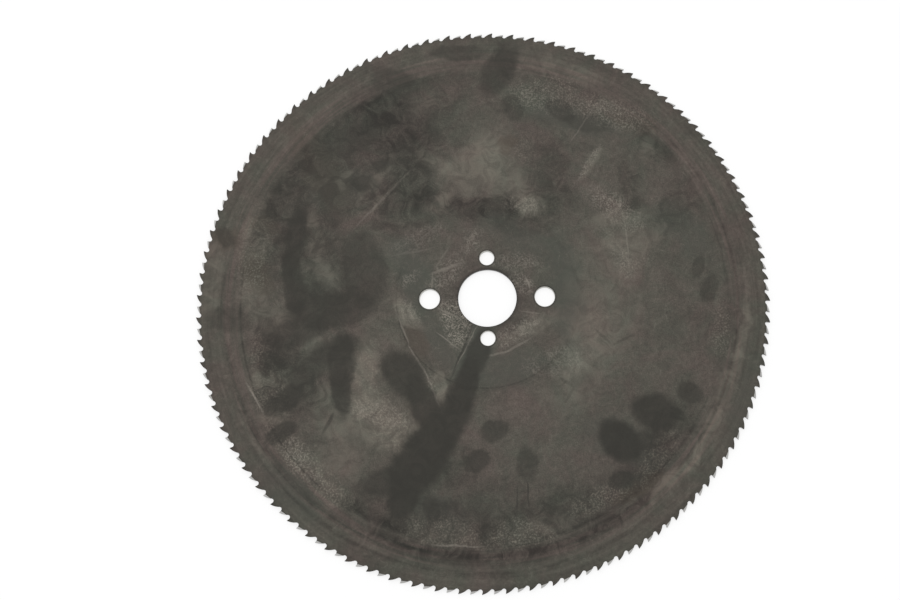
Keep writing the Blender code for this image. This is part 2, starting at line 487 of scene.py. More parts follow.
class Bench:
    """Adds nodes to one material or node group, and links them."""

    def __init__(self, tree):
        self.tree = tree
        tree.nodes.clear()

    def feed(self, socket, value):
        """Links a socket to another, or sets its value."""
        if isinstance(value, bpy.types.NodeSocket):
            self.tree.links.new(value, socket)
        elif socket.type == "RGBA":
            socket.default_value = (*value, 1.0)
        else:
            socket.default_value = value

    def add(self, kind, inputs, **settings):
        """Adds a node, with its inputs by name or number."""
        node = self.tree.nodes.new("ShaderNode" + kind)
        for name, setting in settings.items():
            setattr(node, name, setting)
        for name, value in inputs.items():
            self.feed(node.inputs[name], value)
        return node

    def math(self, operation, *values):
        """Works on numbers."""
        return self.add("Math", dict(enumerate(values)), operation=operation).outputs[0]

    def product(self, first, *others):
        """All the values, multiplied."""
        for value in others:
            first = self.math("MULTIPLY", first, value)
        return first

    def largest(self, first, *others):
        """The largest of the values."""
        for value in others:
            first = self.math("MAXIMUM", first, value)
        return first

    def vector(self, operation, *values):
        """Works on vectors."""
        node = self.add("VectorMath", dict(enumerate(values)), operation=operation)
        single = operation in ("LENGTH", "DOT_PRODUCT")
        return node.outputs["Value" if single else "Vector"]

    def scaled(self, vector, scale):
        """A vector or a colour, times a number."""
        node = self.add("VectorMath", {0: vector, "Scale": scale}, operation="SCALE")
        return node.outputs["Vector"]

    def combined(self, x, y, z):
        """A vector from its three numbers."""
        return self.add("CombineXYZ", {"X": x, "Y": y, "Z": z}).outputs[0]

    def separated(self, vector):
        """The three numbers of a vector."""
        return tuple(self.add("SeparateXYZ", {0: vector}).outputs)

    def ring(self, value, centre, half_width):
        """1 where the value is at the centre, falling to 0 at half a width from it."""
        off = self.math("ABSOLUTE", self.math("SUBTRACT", value, centre))
        return self.fade(off, half_width, 0.0)

    def fade(self, value, start, end):
        """0 at the start and 1 at the end, with an eased slope between them."""
        inputs = {"Value": value, "From Min": start, "From Max": end}
        return self.add("MapRange", inputs, interpolation_type="SMOOTHSTEP").outputs["Result"]

    def spread(self, value, low, high):
        """Stretches a value from 0 to 1 to run from low to high."""
        inputs = {"Value": value, "To Min": low, "To Max": high}
        return self.add("MapRange", inputs).outputs["Result"]

    def noise(self, place, size, detail, roughness, distortion=0.0, kind="2D", output="Fac"):
        """Soft random patches of about the given size, in two or three dimensions."""
        inputs = {
            "Vector": place, "Scale": 1.0 / size, "Detail": detail, "Roughness": roughness,
            "Distortion": distortion,
        }
        return self.add("TexNoise", inputs, noise_dimensions=kind).outputs[output]

    def relief(self, height, strength, depth):
        """The slant of a surface that slightly follows a pattern."""
        inputs = {"Strength": strength, "Distance": depth, "Height": height}
        return self.add("Bump", inputs).outputs["Normal"]

    def blend(self, share, first, second):
        """Mixes two colours."""
        return self.add("Mix", {0: share, 6: first, 7: second}, data_type="RGBA").outputs[2]

    def ramp(self, value, stops):
        """A smooth course of grey levels, from (position, level) pairs."""
        node = self.add("ValToRGB", {"Fac": value})
        elements = node.color_ramp.elements
        while len(elements) < len(stops):
            elements.new(1.0)
        for element, (position, level) in zip(elements, stops):
            element.position = position
            element.color = (level, level, level, 1.0)
        return node.outputs["Color"]

    def place(self):
        """Where the point is on the blade, in millimetres."""
        coordinates = self.add("TexCoord", {}).outputs["Object"]
        return self.scaled(coordinates, 1.0 / MILLIMETRE)


def new_material(name):
    """An empty node material and its bench."""
    material = bpy.data.materials.new(name)
    material.use_nodes = True
    return material, Bench(material.node_tree)


def surface(bench, inputs):
    """Ends a material with one shader."""
    shader = bench.add("BsdfPrincipled", inputs)
    bench.add("OutputMaterial", {"Surface": shader.outputs["BSDF"]})


def hand_mark_group():
    """A node group that lays one oval mark, and passes on how bare the steel still is.

    It has no Mapping node, because more than 80 of those in one material overfill the shader's
    memory in Cycles.
    """
    group = bpy.data.node_groups.new("Hand Mark", "ShaderNodeTree")
    bench = Bench(group)
    kinds = {
        "Bare": "Float", "Place": "Vector", "Centre": "Vector", "Along": "Vector",
        "Aside": "Vector", "Edge Start": "Float", "Edge End": "Float", "Left Bare": "Float",
    }
    for name, kind in kinds.items():
        group.interface.new_socket(name, in_out="INPUT", socket_type="NodeSocket" + kind)
    group.interface.new_socket("Bare", in_out="OUTPUT", socket_type="NodeSocketFloat")
    given = group.nodes.new("NodeGroupInput").outputs
    offset = bench.vector("SUBTRACT", given["Place"], given["Centre"])
    along = bench.vector("DOT_PRODUCT", offset, given["Along"])
    aside = bench.vector("DOT_PRODUCT", offset, given["Aside"])
    squared = bench.math("MULTIPLY_ADD", along, along, bench.math("MULTIPLY", aside, aside))
    inputs = {
        "Value": squared, "From Min": given["Edge Start"], "From Max": given["Edge End"],
        "To Min": given["Left Bare"], "To Max": 1.0,
    }
    left = bench.add("MapRange", inputs, interpolation_type="SMOOTHSTEP").outputs["Result"]
    bare = bench.math("MULTIPLY", given["Bare"], left)
    bench.feed(group.nodes.new("NodeGroupOutput").inputs["Bare"], bare)
    return group


def lay_marks(bench, group, place, marks, edge):
    """How far a list of marks covers the steel, each an oval round its two ends."""
    bare = 1.0
    for name, start, end, half_width, strength in marks:
        run = Vector((*end, 0.0)) - Vector((*start, 0.0))
        ahead = run.normalized()
        inputs = {
            "Bare": bare, "Place": place, "Centre": Vector((*start, 0.0)) + run / 2,
            "Along": ahead / (run.length / 2 + half_width), "Aside": UP.cross(ahead) / half_width,
            "Edge Start": (1.0 - edge) ** 2, "Edge End": (1.0 + edge) ** 2,
            "Left Bare": 1.0 - strength,
        }
        node = bench.tree.nodes.new("ShaderNodeGroup")
        node.node_tree = group
        node.label = name
        for socket, value in inputs.items():
            bench.feed(node.inputs[socket], value)
        bare = node.outputs["Bare"]
    return bench.math("SUBTRACT", 1.0, bare)


# Marks on the upper side: name, the two ends and half the width in millimetres, and strength.

DARK_MARKS = (
    ("finger at the top", (5, 127), (11, 139), 8.5, 0.68),
    ("finger at the top, outer end", (12, 138), (15, 148), 7, 0.4),
    ("arc at the top", (-25, 145), (-5, 144.5), 4.75, 0.5),
    ("below the top finger", (15, 113), (17, 108), 5.25, 0.5),
    ("right of the bare patch", (40, 112), (46, 106), 5.5, 0.55),
    ("right of the bare patch, outer end", (50, 102), (67, 99), 5, 0.42),
    ("upper right, small", (60, 86), (52, 86), 2.75, 0.3),
    ("upper left, outer", (-56, 129), (-46, 124), 8.5, 0.5),
    ("upper left, middle", (-84, 89), (-66, 96), 8.5, 0.4),
    ("upper left, inner", (-60, 76), (-55, 79), 3.75, 0.45),
    ("upper left, olive", (-75, 66), (-63, 67), 4, 0.45),
    ("left, upright streak", (-103, 46), (-107, 22), 5.75, 0.75),
    ("left, foot of the streak", (-107, 22), (-103, -2), 6, 0.75),
    ("left, oval", (-69, 27), (-66, 8), 12, 0.62),
    ("left, joining", (-92, 5), (-82, -2), 7.5, 0.55),
    ("left, slanting band", (-100, -7), (-72, -4), 10, 0.68),
    ("left, foot of the band", (-114, -21), (-92, -13), 7.5, 0.62),
    ("left, at the rim", (-147, -8), (-134, -10), 6.5, 0.45),
    ("left, high on the rim", (-144, 38), (-142, 36), 4.25, 0.5),
    ("left, knuckle", (-117, -31), (-113, -34), 4.25, 0.75),
    ("lower left, palm", (-88, -28), (-74, -26), 7.5, 0.6),
    ("lower left, finger", (-78, -26), (-79, -44), 7.25, 0.78),
    ("lower left, tip of the finger", (-79, -42), (-78, -57), 5.75, 0.78),
    ("lower left, crook", (-100, -42), (-87, -29), 6.5, 0.5),
    ("lower left, first print", (-113, -56), (-103, -50), 6, 0.78),
    ("lower left, second print", (-113, -73), (-106, -68), 4.5, 0.72),
    ("drop", (-49, -37), (-42, -46), 9.5, 0.85),
    ("tail of the drop", (-38, -50), (-31, -66), 7.5, 0.8),
    ("long stripe, by the bore", (-2, -22), (-10, -41), 6, 0.8),
    ("long stripe, middle", (-10, -41), (-17, -60), 7.25, 0.9),
    ("long stripe, widening", (-17, -60), (-31, -80), 10.25, 0.92),
    ("long stripe, wide end", (-31, -80), (-42, -95), 13, 0.97),
    ("long stripe, tip", (-43, -97), (-46, -110), 7.75, 0.92),
    ("long stripe, side", (-46, -97), (-59, -98), 7.25, 0.7),
    ("below the stripe", (-32, -108), (-30, -116), 4, 0.55),
    ("below the bore, left", (-9, -89), (-5, -87), 5.25, 0.66),
    ("below the bore", (1, -73), (5, -72), 5.75, 0.72),
    ("below the bore, right", (20, -87), (20, -94), 5.5, 0.6),
    ("bottom, small", (-3, -125), (0, -123), 4.25, 0.5),
    ("large print", (67, -77), (73, -83), 9.25, 0.97),
    ("large print, heel", (82, -80), (90, -79), 5.5, 0.5),
    ("second print", (86, -64), (94, -66), 9.5, 0.9),
    ("third print", (107, -54), (111, -56), 5.5, 0.72),
    ("fourth print", (67, -101), (71, -100), 4.75, 0.72),
    ("right, upper", (116, 12), (118, 18), 3, 0.45),
    ("right, lower", (122, 0), (124, 6), 4.5, 0.5),
)

DARK_CUTS = (
    ("edge of the stripe", (-9, -17), (-19, -41), 0.6, 0.7),
    ("cut at the bottom", (20, -100), (20, -112), 0.45, 0.7),
    ("cut at the bottom, second", (14, -104), (14, -115), 0.4, 0.6),
    ("nick, lower left", (-83, -62), (-87, -70), 0.8, 0.6),
    ("dried edge, right", (60, -20), (66, -26), 0.7, 0.35),
    ("dried edge, right, outer", (69, -27), (78, -23), 0.7, 0.35),
    ("dried edge, lower right", (40, -46), (44, -49), 0.8, 0.35),
    ("dried edge, lower right, low", (45, -52), (42, -57), 0.75, 0.35),
)

CLOUDS = (
    ("upper left, broad", (-95, 62), (-48, 104), 27, 0.3),
    ("upper left, heart", (-62, 108), (-48, 94), 12.5, 0.35),
    ("left, under the streak", (-100, 30), (-80, 5), 18, 0.2),
    ("above the hub, left", (-50, 58), (-41, 66), 8.5, 0.35),
    ("above the hub, right", (38, 77), (37, 62), 11.5, 0.27),
    ("above the hub, lower right", (40, 62), (33, 52), 7, 0.12),
    ("arc above the bore", (-13, 52), (9, 53), 5, 0.55),
    ("hub edge, upper right", (4, 45), (25, 42), 6, 0.25),
    ("right, high", (80, 68), (82, 56), 5, 0.3),
    ("right, edge", (104, 46), (112, 56), 8.5, 0.25),
    ("top right", (92, 97), (101, 84), 6.5, 0.28),
    ("bottom", (-25, -104), (30, -112), 9.5, 0.15),
    ("below the bore, left, soft", (-22, -92), (-12, -88), 7, 0.25),
    ("bottom left", (-70, -111), (-52, -119), 4.25, 0.4),
    ("right of the prints", (100, -72), (84, -92), 8, 0.35),
    ("left, by the knuckle", (-112, -28), (-100, -46), 11, 0.32),
    ("lower left, ring", (-119, -16), (-110, -62), 6, 0.25),
    ("bottom, ring", (-60, -108), (-10, -124), 8.5, 0.33),
    ("bottom right, ring", (10, -124), (72, -104), 8.5, 0.28),
    ("upper left of the hub", (-50, 44), (-28, 56), 8, 0.3),
    ("edge, upper left", (-122, 45), (-98, 86), 6.5, 0.2),
)

LIGHT_MARKS = (
    ("below the bare patch", (-12, 70), (2, 86), 9.5, 0.38),
    ("below the bare patch, right", (6, 80), (14, 67), 9, 0.32),
    ("bare patch, left", (-33, 116), (-34, 112), 6, 0.25),
    ("patch above the hub, right", (17, 54), (26, 52), 4.75, 0.65),
    ("patch above the hub, left", (-27, 55), (-25, 56), 4.5, 0.5),
    ("smear, upper left", (-68, 59), (-54, 76), 2.35, 0.4),
    ("smear, upper left, second", (-62, 51), (-55, 60), 1.5, 0.45),
    ("smear, below the left corner", (-34, 83), (-23, 75), 3.75, 0.35),
    ("fleck, left", (-80, 67), (-78, 70), 3, 0.35),
    ("left, pale patch", (-90, 18), (-86, 12), 4.75, 0.4),
    ("left, pale streak", (-96, 44), (-95, 28), 3.75, 0.35),
    ("left edge, upper", (-124, 48), (-128, 30), 6.5, 0.28),
    ("left edge, lower", (-127, 6), (-124, -4), 5.5, 0.28),
    ("left rim", (-148, 24), (-151, 0), 5, 0.3),
    ("left, between the marks", (-113, -12), (-106, -12), 5.25, 0.4),
    ("left, below the band", (-99, -25), (-90, -23), 3, 0.35),
    ("left, by the knuckle", (-123, -42), (-111, -44), 4, 0.35),
    ("left, below the first print", (-117, -62), (-110, -64), 4, 0.35),
    ("beside the hub", (-46, -4), (-40, -12), 4, 0.66),
    ("beside the drop", (-67, -27), (-67, -50), 6.5, 0.4),
    ("lower left, broad", (-63, -61), (-50, -71), 9.5, 0.42),
    ("lower left, low", (-86, -55), (-84, -66), 6.5, 0.28),
    ("lower left, outer", (-75, -72), (-78, -84), 10, 0.25),
    ("between the drop and the stripe", (-27, -45), (-24, -57), 3, 0.5),
    ("bottom left, ring", (-104, -80), (-80, -103), 4.5, 0.2),
    ("bottom, ring", (-38, -121), (-10, -127), 5, 0.12),
    ("bottom right, ring", (8, -126), (22, -127), 5.5, 0.1),
    ("bottom right, patch", (28, -122), (40, -121), 4, 0.2),
    ("right of the bore, below", (14, -20), (34, -13), 3.75, 0.3),
    ("lower right, inner", (48, -34), (46, -48), 5.5, 0.28),
    ("right, warm", (76, 28), (92, 33), 6.5, 0.3),
    ("right, pale", (64, 45), (83, 46), 4.5, 0.3),
    ("right, broad", (62, -14), (68, 16), 18, 0.2),
    ("right, broad, lower", (46, -46), (60, -22), 14, 0.2),
    ("upper right, slanting", (58, 72), (63, 82), 2, 0.35),
    ("upper right, yellow", (91, 82), (94, 92), 2.75, 0.35),
    ("upper right, ring", (28, 139), (62, 129), 4.5, 0.25),
    ("lower right, band", (88, -108), (112, -87), 3, 0.45),
    ("right, band", (112, -87), (137, -36), 2.75, 0.35),
    ("right, band, upper end", (137, -36), (143, -8), 2.25, 0.35),
)

SCRIBBLED_MARKS = (
    ("left of the bore", (-19, 18), (-27, 8), 6, 0.5),
    ("below the bore, left", (-19, -7), (-16, -20), 6.5, 0.9),
    ("above the bore, right", (6, 21), (24, 20), 4.5, 0.5),
    ("right of the bore", (17, 9), (23, 5), 4, 0.6),
    ("below the bore, right", (8, -23), (23, -15), 4.5, 0.5),
    ("above the bore, left", (-10, 30), (-6, 36), 4, 0.4),
    ("hub, left", (-40, 13), (-44, 10), 3, 0.5),
    ("hub edge, upper left", (-46, 30), (-30, 38), 5, 0.3),
    ("patch beside the hub", (-45, -4), (-40, -10), 4, 0.5),
    ("patch above the hub", (16, 54), (26, 52), 4, 0.6),
    ("right, high", (64, 56), (80, 44), 7, 0.4),
    ("right", (73, 26), (78, 14), 5, 0.3),
    ("right of the bare patch", (24, 120), (40, 112), 7, 0.25),
    ("upper right", (56, 110), (82, 102), 6.5, 0.35),
    ("lower left", (-66, -60), (-50, -64), 5.5, 0.45),
    ("lower left, outer", (-104, -79), (-94, -92), 4.5, 0.5),
    ("below the hub", (28, -38), (48, -34), 6.5, 0.3),
    ("slanting", (53, 68), (63, 84), 2, 0.5),
)

SCRATCHES = (
    ("hub edge, left", (-49, -8), (-42, -27), 0.37, 0.45),
    ("hub edge, lower left", (-42, -27), (-33, -42), 0.43, 0.5),
    ("hub edge, to the stripe", (-33, -42), (-26, -60), 0.43, 0.45),
    ("beside the stripe", (-7, -18), (-17, -37), 0.31, 0.51),
    ("left of the stripe", (-26, -20), (-17, -27), 0.37, 0.6),
    ("flange print, lower right", (21, -24), (10, -30), 0.53, 0.4),
    ("flange print, bottom", (10, -30), (1, -32), 0.53, 0.4),
    ("beside the bore", (-25, -6), (-16, -11), 0.5, 0.6),
    ("loop, left", (-30, 6), (-30, 13), 0.43, 0.45),
    ("loop, upper left", (-28, 15), (-17, 19), 0.805, 0.5),
    ("loop, top", (-28, 18), (-22, 27), 0.43, 0.25),
    ("hub, upper left", (-38, 33), (-27, 42), 0.31, 0.25),
    ("hub, left", (-50, 25), (-33, 28), 0.43, 0.2),
    ("right of the bore", (22, 10), (23, 6), 0.43, 0.77),
    ("right pin hole, below", (20, -8), (27, -9), 0.43, 0.35),
    ("band, bottom", (-26, -131), (-8, -132.5), 0.495, 0.68),
    ("band, lower left", (-127, -46), (-119, -60), 0.465, 0.68),
    ("upper right", (50, 92), (62, 110), 0.37, 0.34),
    ("right, upright", (79, 20), (77, 44), 0.37, 0.34),
    ("smear, upper left", (-68, 46), (-46, 70), 0.62, 0.38),
)

RUBBED_MARKS = (
    ("upper right", (24, 118), (44, 122), 8.5, 0.6),
    ("upper right, outer", (55, 112), (84, 104), 7.5, 0.7),
    ("patch above the hub", (17, 54), (26, 52), 6, 1.0),
    ("left", (-125, 45), (-128, 10), 8, 0.7),
    ("left, low", (-120, -30), (-112, -62), 8, 0.8),
    ("lower left", (-62, -60), (-50, -72), 10.5, 0.9),
    ("lower left, inner", (-66, -30), (-68, -52), 7, 0.8),
    ("lower left, ring", (-106, -78), (-80, -103), 6.5, 1.0),
    ("bottom, ring", (-42, -121), (-8, -128), 6.5, 0.9),
    ("bottom right, ring", (4, -126), (24, -127), 6.5, 1.0),
    ("bottom right, ring, outer", (48, -114), (68, -106), 5, 0.9),
    ("right of the prints", (95, -80), (84, -97), 6, 0.6),
    ("right edge", (129, -12), (127, -30), 5, 0.6),
    ("beside the stripe", (-28, -46), (-23, -58), 4, 0.8),
    ("right, high", (72, 45), (80, 22), 12, 0.5),
    ("under the bare patch", (-5, 78), (12, 82), 11, 0.5),
)

GREEN_MARKS = (
    ("stripe, by the bore", (-4, -24), (-10, -38), 6.5, 0.9),
    ("hub, left", (-46, 25), (-38, 8), 8.5, 0.6),
    ("hub, right", (42, 22), (44, -16), 7.5, 0.55),
    ("hub, above", (8, 40), (30, 28), 7, 0.45),
    ("hub, below", (-2, -42), (18, -38), 7, 0.5),
    ("hub, lower left", (-32, -12), (-24, -30), 6, 0.45),
    ("right edge", (104, 46), (114, 32), 8.5, 0.4),
    ("top right", (34, 107), (66, 99), 5.5, 0.5),
    ("lower left", (-112, -92), (-96, -108), 6, 0.4),
    ("below the stripe", (-34, -110), (-22, -118), 6.5, 0.5),
    ("upper left", (-88, 62), (-70, 66), 7, 0.3),
    ("large print", (64, -76), (82, -84), 8.5, 0.4),
    ("right band", (148, -40), (132, -74), 5, 0.35),
)

BROWN_MARKS = (
    ("beside the hub", (-40, -20), (-38, -28), 4.5, 0.5),
    ("bare patch, right", (12, 89), (14, 90), 4.25, 0.75),
    ("left, ring", (-127, 20), (-122, 12), 6, 0.6),
    ("left, high", (-124, 46), (-120, 44), 4, 0.5),
    ("right of the prints", (72, -107), (86, -101), 4, 0.8),
    ("upper right", (78, 104), (92, 98), 5, 0.4),
    ("upper left", (-104, 96), (-84, 62), 8, 0.35),
    ("tail of the drop", (-38, -55), (-34, -66), 5.5, 0.3),
    ("high on the rim", (-144, 38), (-141, 36), 5, 0.6),
)


# How uneven the edges of marks are: the size and the reach of each wave, in millimetres.
WAVES = {
    "cut": ((9.0, 1.4),),
    "pressed": ((13.0, 4.0), (3.5, 1.9)),
    "smeared": ((22.0, 12.0), (7.0, 4.0), (2.4, 1.4)),
}

# Each kind of mark: its list, its waves, and how soft its edge is as a share of its width.
MARKS = {
    "dark": (DARK_MARKS, "pressed", 0.25),
    "dark cuts": (DARK_CUTS, "cut", 0.6),
    "clouds": (CLOUDS, "smeared", 0.75),
    "light": (LIGHT_MARKS, "smeared", 0.6),
    "rubbed": (RUBBED_MARKS, "pressed", 0.5),
    "scribbled": (SCRIBBLED_MARKS, "pressed", 0.5),
    "scratches": (SCRATCHES, "cut", 0.7),
    "green": (GREEN_MARKS, "smeared", 0.7),
    "brown": (BROWN_MARKS, "smeared", 0.6),
}

# Brightness of the clean side from the bore out to the teeth, as (radius in millimetres, level).
SIDE_TONES = (
    (16, 0.42), (16.8, 0.55), (18, 0.80), (25, 0.96), (33, 1.00), (38, 0.98), (45, 0.93),
    (49, 0.88), (52, 0.98), (62, 1.06), (85, 1.02), (105, 0.98), (118, 0.96), (129, 0.98),
    (132, 0.90), (135, 0.97), (143, 1.05), (149, 0.97), (153.5, 0.95), (156, 0.62),
)

# A ramp runs from 0 to 1 both ways, so it holds radii over this reach and levels over this scale.
REACH = 160.0
LEVEL_SCALE = 1.25

# Dark arcs at the toothed band: radius and half width in millimetres, direction and spread in
# degrees, strength.
BAND_ARCS = (
    (146.5, 1.6, 255.0, 60.0, 0.28),
    (137.5, 6.0, 275.0, 45.0, 0.56),
    (131.8, 2.6, 306.0, 32.0, 0.45),
    (142.5, 1.0, 222.0, 25.0, 0.34),
    (141.5, 3.5, 238.0, 78.0, 0.26),
    (138.5, 1.4, 0.0, 60.0, 0.28),
)

# Whole rings, as radius and half width in millimetres. They are darker toward one side, given
# like an arc's direction and spread.
HUB_LINE = (49.6, 0.8)
BAND_LINE = (133.2, 1.0)
RUDDY_BAND = (139.0, 10.0)
DARK_SIDE = (245.0, 95.0)

# The dark rim of a pin hole: how far out it lies and half its width in millimetres, its strength.
RIM_OFFSET = 0.3
RIM_HALF_WIDTH = 1.1
RIM_SHADE = 0.45

# Radii between which the toothed band starts, and between which the clouds end, in millimetres.
BAND_START = (130.5, 133.5)
CLOUDS_END = (137.0, 132.0)

# The underside has the same patterns elsewhere, and fainter marks.
UNDERSIDE_SHIFT = 431.0
UNDERSIDE_STREAK_SHIFT = 31.0
UNDERSIDE_WEAR = 0.6
UNDERSIDE_SMUDGES = 0.25
HUE_SHIFT = Vector((0.0, 207.0, 0.0))

# Grinding streaks: their width in millimetres, and how much they change in a turn of the blade.
STREAK_WIDTH = 2.1
STREAK_TURN = 7.0

# The part of an arc's spread that has its full strength.
FULL_SHARE = 0.4

FLATTEN = Vector((1.0, 1.0, 0.0))
MIDDLE_GREY = Vector((0.5, 0.5, 0.5))


def toward(bench, outward, degrees, spread):
    """1 in the direction given from the axis, falling to 0 at the spread to each side of it."""
    turn = math.radians(degrees)
    ahead = bench.vector("DOT_PRODUCT", outward, (math.cos(turn), math.sin(turn), 0.0))
    full, none = math.cos(math.radians(FULL_SHARE * spread)), math.cos(math.radians(spread))
    return bench.fade(ahead, none, full)


def wavered(bench, place, waves):
    """Shifts a place to and fro, for uneven edges."""
    moved = place
    for size, reach in waves:
        wave = bench.noise(place, size, detail=2.0, roughness=0.6, output="Color")
        shift = bench.scaled(bench.vector("SUBTRACT", wave, MIDDLE_GREY), reach)
        moved = bench.vector("ADD", moved, shift)
    return bench.vector("MULTIPLY", moved, FLATTEN)


def lay_all_marks(bench, place):
    """How far each kind of mark covers the steel."""
    group = hand_mark_group()
    places = {way: wavered(bench, place, waves) for way, waves in WAVES.items()}
    return {
        kind: lay_marks(bench, group, places[way], marks, edge)
        for kind, (marks, way, edge) in MARKS.items()
    }


class BladeSide:
    """Where a point of the blade's side lies, and the patterns that its looks share."""

    def __init__(self, bench, sizes):
        place = bench.place()
        x, y, height = bench.separated(place)
        self.flat = bench.vector("MULTIPLY", place, FLATTEN)
        self.radius = bench.vector("LENGTH", self.flat)
        self.outward = bench.vector("NORMALIZE", self.flat)
        self.in_band = bench.fade(self.radius, *BAND_START)
        self.upper = bench.math("GREATER_THAN", height, sizes.thickness / MILLIMETRE / 2)
        self.lower = bench.math("SUBTRACT", 1.0, self.upper)
        shift = bench.combined(bench.math("MULTIPLY", self.lower, UNDERSIDE_SHIFT), 0.0, 0.0)
        self.steel = bench.vector("ADD", self.flat, shift)
        swapped = bench.combined(y, x, 0.0)
        self.handled = bench.vector(
            "ADD", bench.scaled(self.flat, self.upper), bench.scaled(swapped, self.lower)
        )
        self.worn = bench.spread(self.upper, UNDERSIDE_WEAR, 1.0)
        self.patch = bench.noise(self.steel, 9.0, detail=5.0, roughness=0.7, distortion=0.8)
        self.broken = bench.fade(self.patch, 0.36, 0.62)
        self.flake = bench.noise(self.flat, 1.1, detail=2.0, roughness=0.65)
        self.flakes = bench.fade(self.flake, 0.53, 0.62)
        self.bench = bench

    def patchy(self, low, high):
        """A level that changes from patch to patch."""
        return self.bench.spread(self.broken, low, high)


def grinding_streaks(bench, side):
    """Fine long streaks round the axis, about 0.5 on average."""
    x, y, _ = bench.separated(side.outward)
    around = bench.combined(
        bench.math("MULTIPLY", x, STREAK_TURN), bench.math("MULTIPLY", y, STREAK_TURN),
        bench.math("MULTIPLY_ADD", side.lower, UNDERSIDE_STREAK_SHIFT, side.radius),
    )
    return bench.noise(around, STREAK_WIDTH, detail=3.0, roughness=0.6, kind="3D")


def clean_level(bench, side, streak):
    """How bright the clean side is: tones by radius, clouds, patches, flecks and grinding rings."""
    level = bench.ramp(
        bench.math("DIVIDE", side.radius, REACH),
        [(radius / REACH, tone / LEVEL_SCALE) for radius, tone in SIDE_TONES],
    )
    depth = bench.spread(side.in_band, 0.2, 1.0)
    streaked = bench.math("MULTIPLY_ADD", bench.math("SUBTRACT", streak, 0.5), depth, 1.0)
    cloud = bench.noise(side.steel, 42.0, detail=4.0, roughness=0.62)
    fleck = bench.noise(side.steel, 2.2, detail=3.0, roughness=0.7)
    grain = bench.noise(side.steel, 0.7, detail=2.0, roughness=0.7)
    depth = bench.spread(side.in_band, 0.9, 0.4)
    grained = bench.math("MULTIPLY_ADD", bench.math("SUBTRACT", grain, 0.5), depth, 1.0)
    return bench.product(
        level, LEVEL_SCALE, streaked, bench.spread(cloud, 0.82, 1.18),
        bench.spread(side.patch, 0.66, 1.34), bench.spread(fleck, 0.66, 1.34), grained,
    )


def steel_warmth(bench, side, streak):
    """How far the clean side is brown and not green: by broad clouds, and streaks in the band."""
    shifted = bench.vector("ADD", side.steel, HUE_SHIFT)
    hue = bench.noise(shifted, 26.0, detail=4.0, roughness=0.6, distortion=0.4)
    ruddy = bench.product(bench.ring(side.radius, *RUDDY_BAND), bench.spread(streak, -0.9, 2.6))
    return bench.largest(bench.spread(hue, -0.6, 1.6), ruddy)


def wiped_places(bench, side, marks):
    """Where the steel is bright: in wiped patches, in rubbed flakes and in fine curls."""
    curl = bench.noise(side.flat, 5.0, detail=3.0, roughness=0.55, distortion=0.6)
    curls = bench.ring(curl, 0.5, 0.014)
    wiped = bench.product(marks["light"], side.patchy(0.45, 1.15), side.worn)
    flecked = bench.largest(side.flakes, curls)
    rubbed = bench.product(marks["rubbed"], flecked, side.patchy(0.35, 1.0), side.worn)
    everywhere = bench.product(curls, side.patchy(0.05, 0.3))
    return bench.math("MINIMUM", bench.largest(wiped, rubbed, everywhere), 1.0)


def fresh_scratches(bench, side, marks):
    """Where the steel is freshly scratched, in scribbles and in single scratches."""
    scribble = bench.noise(side.flat, 2.6, detail=2.0, roughness=0.55, distortion=0.8)
    scribbles = bench.largest(bench.ring(scribble, 0.5, 0.045), bench.product(side.flakes, 0.5))
    scribbled = bench.product(marks["scribbled"], scribbles, side.patchy(0.5, 1.0))
    single = bench.product(marks["scratches"], bench.spread(side.flake, 0.2, 0.9))
    return bench.product(bench.largest(scribbled, single), side.worn)


def ring_lines(bench, side):
    """The dark rings: at the edge of the hub, at the toothed band and in it."""
    dark_side = toward(bench, side.outward, *DARK_SIDE)
    lines = [
        bench.product(bench.ring(side.radius, *HUB_LINE), bench.spread(dark_side, 0.06, 0.3)),
        bench.product(bench.ring(side.radius, *BAND_LINE), bench.spread(dark_side, 0.08, 0.34)),
    ]
    for radius, half_width, degrees, spread, strength in BAND_ARCS:
        arc = bench.ring(side.radius, radius, half_width)
        lines.append(bench.product(arc, toward(bench, side.outward, degrees, spread), strength))
    return bench.product(bench.largest(*lines), side.patchy(1.2, 0.6))


def hole_rims(bench, side, sizes):
    """Darker steel close round the pin holes, which lie alike on both sides of the axes."""
    folded = bench.vector("ABSOLUTE", side.flat)
    rims = []
    for radius, place in pin_holes(sizes):
        off = bench.vector("LENGTH", bench.vector("SUBTRACT", folded, place / MILLIMETRE))
        rims.append(bench.ring(off, radius / MILLIMETRE + RIM_OFFSET, RIM_HALF_WIDTH))
    return bench.product(bench.largest(*rims), RIM_SHADE)


def shaded_level(bench, side, marks, sizes):
    """How bright the steel stays under the clouds and the dark rings."""
    inside = bench.fade(side.radius, *CLOUDS_END)
    clouds = bench.product(marks["clouds"], inside, side.patchy(1.15, 0.7), side.worn)
    dark = bench.largest(clouds, ring_lines(bench, side), hole_rims(bench, side, sizes))
    return bench.math("SUBTRACT", 1.0, dark)


